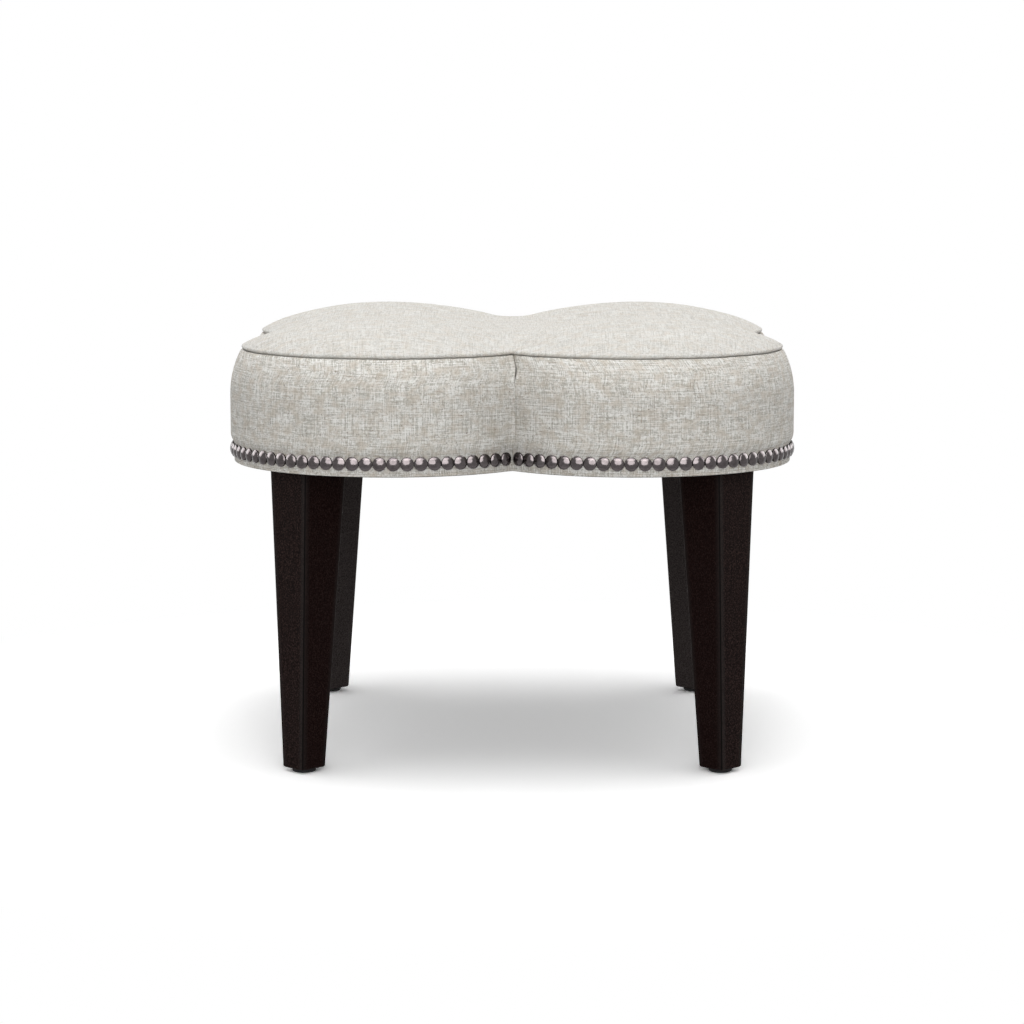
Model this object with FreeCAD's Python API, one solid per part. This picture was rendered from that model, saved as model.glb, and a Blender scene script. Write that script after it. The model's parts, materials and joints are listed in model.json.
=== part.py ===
# A four-lobed upholstered ottoman on four tapered legs.
#
# A plywood base board and deck, held apart by hardwood posts and closed round the edge by thin
# curved skins, carry a seat foam and four crowned pads. A linen cover of one top panel and four
# boxing panels is sewn round them, stapled under the board and nailed round its edge. Each leg
# hangs on a bolt that screws into a tee nut in the board, and stands on a nailed glide.
#
# Sizes are in millimetres. The origin is on the floor under the middle of the seat, +Z is up,
# and the front, where one notch between two lobes shows, faces -Y.

import FreeCAD, Part
import math
import os

# Plan of the seat: each lobe is a circle about a centre that lies this far out along X and Y
LOBE_OFFSET = 121.5
BOARD_RADIUS = 163.8
FRAME_RADIUS = 153.0

# Cover cloth and the batting under it
COVER_THICKNESS = 1.0
BATTING_THICKNESS = 3.0

# Glides and legs
GLIDE_HEIGHT = 4.2
GLIDE_DIAMETER = 24.0
GLIDE_ROUND = 1.2
LEG_LENGTH = 305.0
LEG_TOP_WIDTH = 55.0
LEG_FOOT_WIDTH = 31.7
LEG_OUTER_LEAN = 2.6
LEG_EDGE_RADIUS = 3.2
LEG_FOOT_BEVEL = 1.2
LEG_CLEARANCE = 0.85

# Frame, from the dust cover up
DUST_COVER_THICKNESS = 0.8
BOARD_THICKNESS = 19.0
BOARD_EDGE_ROUND = 2.5
POST_HEIGHT = 33.0
DECK_THICKNESS = 12.0
SKIN_THICKNESS = 3.0
LEG_POST_WIDTH = 56.0
NOTCH_POST_WIDTH = 44.0
NOTCH_POST_DEPTH = 26.0

# Cushion: the seat foam, and the side's outline above the board
SEAT_FOAM_THICKNESS = 50.8
SIDE_SWELL = 3.5
LOWER_SWELL_RISE = 9.3
WALL_TOP_BELOW_SEAM = 46.8
SHOULDER_RADIUS = 95.2

# Top panel: its rolled edge above the seam, then a dome on each lobe
LIP_HEIGHT = 3.6
LIP_BULGE = 0.3
LIP_START_INSET = 0.4
DOME_EDGE_INSET = 1.8
CROWN_HEIGHT = 31.2
CROWN_SHIFT = 22.5
CROWN_FULLNESS = 1.06
CROWN_LEVELS = (0.0, 0.16, 0.36, 0.56, 0.74, 0.87, 0.95, 0.99)
VALLEY_HEIGHT = 15.3
VALLEY_FLAT_RADIUS = 120.0
VALLEY_EDGE_INSET = 6.0

# A sloped layer measures this much more straight up than square to its face
SLOPE_ALLOWANCE = 1.05

# Solids that are joined into one reach this far into each other
JOIN_OVERLAP = 1.0

# Cover margin that is turned under the board, and the dust cover's edge
MARGIN_WIDTH = 13.8
DUST_COVER_EDGE_INSET = 5.0

# Decorative nails round the edge of the board
NAIL_HEAD_DIAMETER = 13.3
NAIL_HEAD_HEIGHT = 4.4
NAIL_SHANK_DIAMETER = 1.7
NAIL_SHANK_LENGTH = 13.0
NAIL_BELOW_BOARD_TOP = 0.1
NAILS_PER_LOBE = 39
NAIL_NOTCH_GAP = 9.5

# Leg bolts and tee nuts
BOLT_DIAMETER = 7.9
BOLT_WOOD_LENGTH = 38.0
BOLT_MACHINE_LENGTH = 22.0
BOLT_TIP_LENGTH = 6.0
POINT_SHARE = 0.25
TEE_NUT_FLANGE_DIAMETER = 22.0
TEE_NUT_FLANGE_THICKNESS = 1.6
TEE_NUT_BARREL_DIAMETER = 9.9
TEE_NUT_BARREL_LENGTH = 14.0
POST_POCKET_CLEARANCE = 2.0
THREAD_CLEARANCE = 0.05

# Wood screws, with a countersunk head
SCREW_DIAMETER = 4.0
SCREW_HEAD_DIAMETER = 8.0
SCREW_TIP_LENGTH = 4.0
BASE_SCREW_LENGTH = 38.0
DECK_SCREW_LENGTH = 30.0
LEG_POST_SCREW_SPACING = 36.0
NOTCH_BASE_SCREW_SPACING = 24.0
NOTCH_DECK_SCREW_SPACING = 14.0

# Staples: a flat crown with two legs
STAPLE_CROWN_LENGTH = 10.0
STAPLE_WIRE_WIDTH = 1.2
STAPLE_WIRE_THICKNESS = 0.7
STAPLE_LEG_LENGTH = 8.0
STAPLES_PER_LOBE = 14
COVER_STAPLE_INSET = 11.4
DUST_STAPLE_INSET = 7.6

# Glide nails
GLIDE_NAIL_DIAMETER = 2.5
GLIDE_NAIL_LENGTH = 16.0
GLIDE_NAIL_HEAD_DIAMETER = 7.0
GLIDE_NAIL_HEAD_THICKNESS = 1.2

# Heights above the floor, each on top of the one before
LEG_TOP_Z = GLIDE_HEIGHT + LEG_LENGTH
BOARD_BOTTOM_Z = LEG_TOP_Z + DUST_COVER_THICKNESS
BOARD_TOP_Z = BOARD_BOTTOM_Z + BOARD_THICKNESS
DECK_BOTTOM_Z = BOARD_TOP_Z + POST_HEIGHT
DECK_TOP_Z = DECK_BOTTOM_Z + DECK_THICKNESS
SEAM_Z = DECK_TOP_Z + SEAT_FOAM_THICKNESS
NAIL_Z = BOARD_TOP_Z - NAIL_HEAD_DIAMETER / 2 - NAIL_BELOW_BOARD_TOP
MARGIN_BOTTOM_Z = BOARD_BOTTOM_Z - COVER_THICKNESS

# Radii about a lobe's centre
COVER_EDGE_RADIUS = BOARD_RADIUS + COVER_THICKNESS
WALL_RADIUS = COVER_EDGE_RADIUS + SIDE_SWELL
MARGIN_RADIUS = BOARD_RADIUS - MARGIN_WIDTH
DECK_RADIUS = FRAME_RADIUS - SKIN_THICKNESS
SHOULDER_CENTRE = WALL_RADIUS - SHOULDER_RADIUS
LOWER_SWELL_RADIUS = LOWER_SWELL_RISE**2 / (2 * SIDE_SWELL) + SIDE_SWELL / 2
SEAM_RADIUS = SHOULDER_CENTRE + math.sqrt(SHOULDER_RADIUS**2 - WALL_TOP_BELOW_SEAM**2)
DOME_RADIUS = SEAM_RADIUS - DOME_EDGE_INSET

# Distances from the middle along a diagonal
LOBE_DISTANCE = LOBE_OFFSET * math.sqrt(2)
LEG_SEAT_RADIUS = MARGIN_RADIUS - DUST_COVER_THICKNESS - LEG_CLEARANCE
LEG_OUTER = LOBE_DISTANCE + math.sqrt(LEG_SEAT_RADIUS**2 - (LEG_TOP_WIDTH / 2) ** 2)
BOLT_DISTANCE = LEG_OUTER - LEG_TOP_WIDTH / 2
FOOT_DISTANCE = LEG_OUTER - LEG_OUTER_LEAN - LEG_FOOT_WIDTH / 2

# Each quarter of the seat is the back right one, turned about the middle
QUARTERS = {"back_right": 0, "back_left": 90, "front_left": 180, "front_right": 270}
NOTCHES = {"back": 90, "left": 180, "front": 270, "right": 0}

UP = FreeCAD.Vector(0, 0, 1)
MIDDLE = FreeCAD.Vector(0, 0, 0)


def point(x, y, z):
    return FreeCAD.Vector(x, y, z)


def polar(radius, degrees, z=0.0):
    angle = math.radians(degrees)
    return point(radius * math.cos(angle), radius * math.sin(angle), z)


def line(start, end):
    return Part.LineSegment(start, end).toShape()


def arc(start, through, end):
    return Part.Arc(start, through, end).toShape()


def turned(solid, degrees):
    """A copy of the solid, turned about the middle of the seat."""
    copy = solid.copy()
    copy.rotate(MIDDLE, UP, degrees)
    return copy


def four_quarters(solid):
    """The solid of the back right quarter and its three turned copies."""
    return [turned(solid, degrees) for degrees in QUARTERS.values()]


def save(name, shape):
    shape.exportStep("parts/" + name + ".step")
    print(name, len(shape.Solids), "solids, valid", shape.isValid(), round(shape.Volume))


def seat_outline(radius, z):
    """The four-lobed outline at a radius about the lobe centres: two arcs per lobe."""
    notch = math.sqrt(radius**2 - LOBE_OFFSET**2)
    first = math.degrees(math.atan2(-LOBE_OFFSET, notch))
    last = 90 - first
    stops = [first + (last - first) * step / 4 for step in range(5)]
    centre = point(LOBE_OFFSET, LOBE_OFFSET, z)
    start, inner, middle, outer, end = [centre + polar(radius, stop) for stop in stops]
    lobe = Part.Wire([arc(start, inner, middle), arc(middle, outer, end)])
    edges = []
    for quarter in four_quarters(lobe):
        edges.extend(quarter.Edges)
    return Part.Wire(Part.__sortEdges__(edges))


def seat_plate(radius, bottom, top):
    """A flat four-lobed plate."""
    return Part.Face(seat_outline(radius, bottom)).extrude(point(0, 0, top - bottom))


def quarter_space():
    """Everything behind and to the right of the middle."""
    reach = 2 * (LOBE_OFFSET + WALL_RADIUS)
    return Part.makeBox(reach, reach, 2 * SEAM_Z, MIDDLE)


def lobe_rim_space():
    """The quarter without its inner corner, so that only the outer stretch of a ring is in it."""
    corner = Part.makeBox(LOBE_OFFSET, LOBE_OFFSET, 2 * SEAM_Z, MIDDLE)
    return quarter_space().cut(corner)


def on_lobe(solid):
    """Move a solid from the middle to the back right lobe, its seam edge towards the middle."""
    solid.rotate(MIDDLE, UP, 225)
    solid.translate(point(LOBE_OFFSET, LOBE_OFFSET, 0))
    return solid


def lobe_turning(edges):
    """A solid of revolution about the back right lobe's axis, from a closed half-section."""
    return on_lobe(Part.Face(Part.Wire(edges)).revolve(MIDDLE, UP, 360))


def lobe_disc(radius, bottom, top):
    """A round disc about the back right lobe's axis."""
    return on_lobe(Part.makeCylinder(radius, top - bottom, point(0, 0, bottom)))


def lobe_ring(inner, outer, bottom, top):
    """A round ring about the back right lobe's axis."""
    return lobe_disc(outer, bottom, top).cut(lobe_disc(inner, bottom, top))


def lobe_body(inset):
    """The lobe's filled body under the seam, moved inwards from the cover's outer face."""
    bottom = MARGIN_BOTTOM_Z + inset
    edge = COVER_EDGE_RADIUS - inset
    wall = WALL_RADIUS - inset
    corner = BOARD_EDGE_ROUND + COVER_THICKNESS - inset
    corner_mid = edge - corner + corner * math.sqrt(0.5)
    swell = LOWER_SWELL_RADIUS - inset
    swell_centre = wall - swell
    swell_centre_z = BOARD_TOP_Z + LOWER_SWELL_RISE
    swell_start_z = swell_centre_z - math.sqrt(swell**2 - (edge - swell_centre) ** 2)
    swell_mid = math.atan2(swell_centre_z - swell_start_z, edge - swell_centre) / 2
    shoulder = SHOULDER_RADIUS - inset
    shoulder_z = SEAM_Z - WALL_TOP_BELOW_SEAM
    seam = SHOULDER_CENTRE + math.sqrt(shoulder**2 - WALL_TOP_BELOW_SEAM**2)
    shoulder_mid = math.asin(WALL_TOP_BELOW_SEAM / shoulder) / 2

    axis_bottom = point(0, 0, bottom)
    flat_end = point(edge - corner, 0, bottom)
    corner_through = point(corner_mid, 0, bottom + corner - corner * math.sqrt(0.5))
    corner_end = point(edge, 0, bottom + corner)
    swell_start = point(edge, 0, swell_start_z)
    swell_through = point(
        swell_centre + swell * math.cos(swell_mid), 0, swell_centre_z - swell * math.sin(swell_mid)
    )
    swell_end = point(wall, 0, swell_centre_z)
    shoulder_start = point(wall, 0, shoulder_z)
    shoulder_through = point(
        SHOULDER_CENTRE + shoulder * math.cos(shoulder_mid),
        0,
        shoulder_z + shoulder * math.sin(shoulder_mid),
    )
    shoulder_end = point(seam, 0, SEAM_Z)
    axis_top = point(0, 0, SEAM_Z)
    edges = [
        line(axis_bottom, flat_end),
        arc(flat_end, corner_through, corner_end),
        line(corner_end, swell_start),
        arc(swell_start, swell_through, swell_end),
        line(swell_end, shoulder_start),
        arc(shoulder_start, shoulder_through, shoulder_end),
        line(shoulder_end, axis_top),
        line(axis_top, axis_bottom),
    ]
    return lobe_turning(edges)


def level_circle(distance, radius, z):
    """A level circle as three arcs, its centre on the back right diagonal."""
    centre = point(distance, distance, z)
    stops = [centre + polar(radius, 225 + 60 * step) for step in range(6)]
    edges = []
    for step in (0, 2, 4):
        edges.append(arc(stops[step], stops[step + 1], stops[(step + 2) % 6]))
    return Part.Wire(edges)


def lobe_dome(inset):
    """The dome of one lobe: level circles that shrink to a peak nearer the corner."""
    edge_z = SEAM_Z + LIP_HEIGHT - inset * SLOPE_ALLOWANCE
    rise = CROWN_HEIGHT - LIP_HEIGHT
    circles = []
    for level in CROWN_LEVELS:
        radius = DOME_RADIUS * math.sqrt(1 - level**CROWN_FULLNESS)
        circles.append(level_circle(LOBE_OFFSET + CROWN_SHIFT * level, radius, edge_z + rise * level))
    dome = Part.makeLoft(circles, True, False)
    base_z = min(edge_z, SEAM_Z)
    return dome.fuse(lobe_disc(DOME_RADIUS, base_z - JOIN_OVERLAP, edge_z))


def lobe_lip(inset):
    """The rolled edge of the top panel just above the seam, as a disc with a bulged edge."""
    start = SEAM_RADIUS - LIP_START_INSET - inset
    bulge = start + LIP_BULGE
    top_z = SEAM_Z + LIP_HEIGHT - inset * SLOPE_ALLOWANCE
    edges = [
        line(point(0, 0, SEAM_Z), point(start, 0, SEAM_Z)),
        arc(point(start, 0, SEAM_Z), point(bulge, 0, (SEAM_Z + top_z) / 2), point(DOME_RADIUS, 0, top_z)),
        line(point(DOME_RADIUS, 0, top_z), point(0, 0, top_z)),
        line(point(0, 0, top_z), point(0, 0, SEAM_Z)),
    ]
    return lobe_turning(edges)


def valley_disc(inset):
    """The low round rise in the middle that fills the valleys between the domes."""
    top_z = SEAM_Z + VALLEY_HEIGHT - inset * SLOPE_ALLOWANCE
    edge_z = SEAM_Z + LIP_HEIGHT - inset * SLOPE_ALLOWANCE
    notch = LOBE_OFFSET + math.sqrt(SEAM_RADIUS**2 - LOBE_OFFSET**2)
    edge = notch - VALLEY_EDGE_INSET
    run = edge - VALLEY_FLAT_RADIUS
    fall = top_z - edge_z
    bend = (run**2 + fall**2) / (2 * fall)
    half = math.asin(run / bend) / 2
    through = point(
        VALLEY_FLAT_RADIUS + bend * math.sin(half), 0, top_z - bend + bend * math.cos(half)
    )
    floor_z = min(edge_z, SEAM_Z) - JOIN_OVERLAP
    edges = [
        line(point(0, 0, floor_z), point(edge, 0, floor_z)),
        line(point(edge, 0, floor_z), point(edge, 0, edge_z)),
        arc(point(edge, 0, edge_z), through, point(VALLEY_FLAT_RADIUS, 0, top_z)),
        line(point(VALLEY_FLAT_RADIUS, 0, top_z), point(0, 0, top_z)),
        line(point(0, 0, top_z), point(0, 0, floor_z)),
    ]
    return Part.Face(Part.Wire(edges)).revolve(MIDDLE, UP, 360)


def crown(inset):
    """The filled crown above the seam, moved inwards from the cover's outer face."""
    pieces = four_quarters(lobe_dome(inset))
    if LIP_HEIGHT > inset * SLOPE_ALLOWANCE:
        pieces.extend(four_quarters(lobe_lip(inset)))
    solid = valley_disc(inset).fuse(pieces)
    reach = 2 * (LOBE_OFFSET + WALL_RADIUS)
    above = Part.makeBox(2 * reach, 2 * reach, 2 * CROWN_HEIGHT, point(-reach, -reach, SEAM_Z))
    return solid.common(above)


def square_section(width, z, shrink=0.0):
    """The leg's rounded square at a height, its outer side leaning in a little, in line with +X."""
    radius = LEG_EDGE_RADIUS - shrink
    face = LEG_OUTER - LEG_OUTER_LEAN * (LEG_TOP_Z - z) / LEG_LENGTH
    outer = face - shrink
    inner = face - width + shrink
    half = width / 2 - shrink
    soft = radius * (1 - math.sqrt(0.5))
    corners = [(outer, half, 1, 1), (inner, half, -1, 1), (inner, -half, -1, -1), (outer, -half, 1, -1)]
    edges = []
    last = None
    first = None
    for x, y, side_x, side_y in corners:
        on_x_side = point(x, y - side_y * radius, z)
        on_y_side = point(x - side_x * radius, y, z)
        through = point(x - side_x * soft, y - side_y * soft, z)
        start, end = (on_x_side, on_y_side) if side_x == side_y else (on_y_side, on_x_side)
        if last is None:
            first = start
        else:
            edges.append(line(last, start))
        edges.append(arc(start, through, end))
        last = end
    edges.append(line(last, first))
    return Part.Wire(edges)


def make_leg():
    """One leg: its outer side is nearly upright and the other three taper to the foot."""
    bevel_width = LEG_FOOT_WIDTH + (LEG_TOP_WIDTH - LEG_FOOT_WIDTH) * LEG_FOOT_BEVEL / LEG_LENGTH
    sections = [
        square_section(LEG_FOOT_WIDTH, GLIDE_HEIGHT, LEG_FOOT_BEVEL),
        square_section(bevel_width, GLIDE_HEIGHT + LEG_FOOT_BEVEL),
        square_section(LEG_TOP_WIDTH, LEG_TOP_Z),
    ]
    return turned(Part.makeLoft(sections, True, True), 45)


def make_glide():
    """One round glide, its lower edge rounded."""
    centre = polar(FOOT_DISTANCE, 45)
    glide = Part.makeCylinder(GLIDE_DIAMETER / 2, GLIDE_HEIGHT, centre)
    rim = [edge for edge in glide.Edges if edge.BoundBox.ZMax < GLIDE_HEIGHT / 2]
    return glide.makeFillet(GLIDE_ROUND, rim)


def make_glide_nail(clearance=0.0):
    """One glide nail: its head is moulded into the glide and its shank is in the leg."""
    head_z = (GLIDE_HEIGHT - GLIDE_NAIL_HEAD_THICKNESS) / 2
    centre = polar(FOOT_DISTANCE, 45, head_z)
    head = Part.makeCylinder(GLIDE_NAIL_HEAD_DIAMETER / 2, GLIDE_NAIL_HEAD_THICKNESS, centre)
    shank = Part.makeCylinder(GLIDE_NAIL_DIAMETER / 2 + clearance, GLIDE_NAIL_LENGTH, centre)
    return head.fuse(shank)


def make_bolt(clearance=0.0):
    """One leg bolt: a pointed wood thread in the leg and a machine thread above it."""
    radius = BOLT_DIAMETER / 2 + clearance
    tip_z = LEG_TOP_Z - BOLT_WOOD_LENGTH
    body_z = tip_z + BOLT_TIP_LENGTH
    body_length = BOLT_WOOD_LENGTH - BOLT_TIP_LENGTH + BOLT_MACHINE_LENGTH
    point_radius = radius * POINT_SHARE
    tip = Part.makeCone(point_radius, radius, BOLT_TIP_LENGTH, polar(BOLT_DISTANCE, 45, tip_z))
    body = Part.makeCylinder(radius, body_length, polar(BOLT_DISTANCE, 45, body_z))
    return tip.fuse(body).removeSplitter()


def make_tee_nut():
    """One tee nut: its barrel is in the board and its flange lies on top of it."""
    flange = Part.makeCylinder(
        TEE_NUT_FLANGE_DIAMETER / 2, TEE_NUT_FLANGE_THICKNESS, polar(BOLT_DISTANCE, 45, BOARD_TOP_Z)
    )
    barrel = Part.makeCylinder(
        TEE_NUT_BARREL_DIAMETER / 2,
        TEE_NUT_BARREL_LENGTH,
        polar(BOLT_DISTANCE, 45, BOARD_TOP_Z - TEE_NUT_BARREL_LENGTH),
    )
    return flange.fuse(barrel).cut(make_bolt(THREAD_CLEARANCE))


def make_tee_nut_seat():
    """The hole in the board for a tee nut's barrel, and the bolt's hole below it."""
    return Part.makeCylinder(
        TEE_NUT_BARREL_DIAMETER / 2, BOARD_THICKNESS, polar(BOLT_DISTANCE, 45, BOARD_BOTTOM_Z)
    )


def screw_at(place, length, direction, clearance=0.0):
    """A countersunk wood screw, its head flush at the place and its shank along Z."""
    radius = SCREW_DIAMETER / 2 + clearance
    head_radius = SCREW_HEAD_DIAMETER / 2
    head_depth = head_radius - SCREW_DIAMETER / 2
    axis = point(0, 0, direction)
    head = Part.makeCone(head_radius, radius, head_depth, place, axis)
    body = Part.makeCylinder(radius, length - SCREW_TIP_LENGTH, place, axis)
    tip_place = place + axis * (length - SCREW_TIP_LENGTH)
    tip = Part.makeCone(radius, radius * POINT_SHARE, SCREW_TIP_LENGTH, tip_place, axis)
    return body.fuse([head, tip]).removeSplitter()


def base_screws(clearance=0.0):
    """Two screws up through the board into each post."""
    along = polar(LEG_POST_SCREW_SPACING / 2, 135)
    centre = polar(BOLT_DISTANCE, 45, BOARD_BOTTOM_Z)
    notch_centre = point(notch_post_distance(), 0, BOARD_BOTTOM_Z)
    notch_along = point(0, NOTCH_BASE_SCREW_SPACING / 2, 0)
    places = [centre + along, centre - along, notch_centre + notch_along, notch_centre - notch_along]
    screws = []
    for place in places:
        screws.extend(four_quarters(screw_at(place, BASE_SCREW_LENGTH, 1, clearance)))
    return screws


def deck_screws(clearance=0.0):
    """Two screws down through the deck into each post."""
    along = polar(LEG_POST_SCREW_SPACING / 2, 45)
    centre = polar(BOLT_DISTANCE, 45, DECK_TOP_Z)
    notch_centre = point(notch_post_distance(), 0, DECK_TOP_Z)
    notch_along = point(NOTCH_DECK_SCREW_SPACING / 2, 0, 0)
    places = [centre + along, centre - along, notch_centre + notch_along, notch_centre - notch_along]
    screws = []
    for place in places:
        screws.extend(four_quarters(screw_at(place, DECK_SCREW_LENGTH, -1, clearance)))
    return screws


def notch_post_distance():
    """From the middle to a notch post's centre, which stands just inside the notch."""
    notch = LOBE_OFFSET + math.sqrt(DECK_RADIUS**2 - LOBE_OFFSET**2)
    return notch - NOTCH_POST_DEPTH / 2


def make_leg_post():
    """The post over a leg, with a pocket over the tee nut and the bolt's end."""
    half = LEG_POST_WIDTH / 2
    post = Part.makeBox(
        LEG_POST_WIDTH, LEG_POST_WIDTH, POST_HEIGHT, point(BOLT_DISTANCE - half, -half, BOARD_TOP_Z)
    )
    bolt_end = BOLT_MACHINE_LENGTH - DUST_COVER_THICKNESS - BOARD_THICKNESS
    pocket_depth = max(bolt_end, TEE_NUT_FLANGE_THICKNESS) + POST_POCKET_CLEARANCE
    pocket_radius = TEE_NUT_FLANGE_DIAMETER / 2 + POST_POCKET_CLEARANCE
    pocket = Part.makeCylinder(pocket_radius, pocket_depth, point(BOLT_DISTANCE, 0, BOARD_TOP_Z))
    return turned(post.cut(pocket), 45)


def make_notch_post():
    """The post behind the right-hand notch, its face cut to the two skins that meet there."""
    half = NOTCH_POST_WIDTH / 2
    inner = notch_post_distance() - NOTCH_POST_DEPTH / 2
    outer = LOBE_OFFSET + DECK_RADIUS
    post = Part.makeBox(outer - inner, NOTCH_POST_WIDTH, POST_HEIGHT, point(inner, -half, BOARD_TOP_Z))
    return post.common(seat_plate(DECK_RADIUS, BOARD_TOP_Z, DECK_BOTTOM_Z))


def nail_place(solid, degrees):
    """Move a nail's solid from the middle, where it points along +X, to its place on the lobe."""
    solid.translate(point(COVER_EDGE_RADIUS, 0, NAIL_Z))
    solid.rotate(MIDDLE, UP, degrees)
    solid.translate(point(LOBE_OFFSET, LOBE_OFFSET, 0))
    return solid


def make_shank(degrees):
    """The shank of a decorative nail of the back right lobe."""
    shank = Part.makeCylinder(NAIL_SHANK_DIAMETER / 2, NAIL_SHANK_LENGTH, MIDDLE, point(-1, 0, 0))
    return nail_place(shank, degrees)


def make_nail(degrees):
    """One decorative nail of the back right lobe: a domed head on the cover and a shank."""
    ball = (NAIL_HEAD_DIAMETER**2 / 4 + NAIL_HEAD_HEIGHT**2) / (2 * NAIL_HEAD_HEIGHT)
    rim = point(0, 0, NAIL_HEAD_DIAMETER / 2)
    tilt = math.asin(NAIL_HEAD_DIAMETER / 2 / ball) / 2
    apex = point(NAIL_HEAD_HEIGHT, 0, 0)
    through = point(NAIL_HEAD_HEIGHT - ball + ball * math.cos(tilt), 0, ball * math.sin(tilt))
    section = Part.Wire([line(MIDDLE, rim), arc(rim, through, apex), line(apex, MIDDLE)])
    head = Part.Face(section).revolve(MIDDLE, point(1, 0, 0), 360)
    return nail_place(head, degrees).fuse(make_shank(degrees))


def lobe_angles(radius, count, end_gap):
    """Even angles round a lobe, the first and last this far along the arc from a notch."""
    notch = math.sqrt(radius**2 - LOBE_OFFSET**2)
    first = math.degrees(math.atan2(-LOBE_OFFSET, notch) + end_gap / radius)
    last = 90 - first
    return [first + (last - first) * step / (count - 1) for step in range(count)]


def lobe_staples(inset, under_z):
    """A row of staples under the back right lobe, their crowns flush with the cloth there."""
    radius = BOARD_RADIUS - inset
    half = STAPLE_CROWN_LENGTH / 2
    crown_bar = Part.makeBox(
        STAPLE_WIRE_WIDTH, STAPLE_CROWN_LENGTH, STAPLE_WIRE_THICKNESS, point(radius, -half, under_z)
    )
    legs = []
    for y in (-half, half - STAPLE_WIRE_THICKNESS):
        foot = point(radius, y, under_z)
        legs.append(Part.makeBox(STAPLE_WIRE_WIDTH, STAPLE_WIRE_THICKNESS, STAPLE_LEG_LENGTH, foot))
    staple = crown_bar.fuse(legs).removeSplitter()
    staples = []
    for degrees in lobe_angles(radius, STAPLES_PER_LOBE, STAPLE_CROWN_LENGTH):
        copy = staple.copy()
        copy.rotate(MIDDLE, UP, degrees)
        copy.translate(point(LOBE_OFFSET, LOBE_OFFSET, 0))
        staples.append(copy)
    return staples


def save_quarters(name, solid):
    """Save the back right solid and its three turned copies, each as its own piece."""
    for quarter, degrees in QUARTERS.items():
        save(name + "_" + quarter, turned(solid, degrees))


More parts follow.
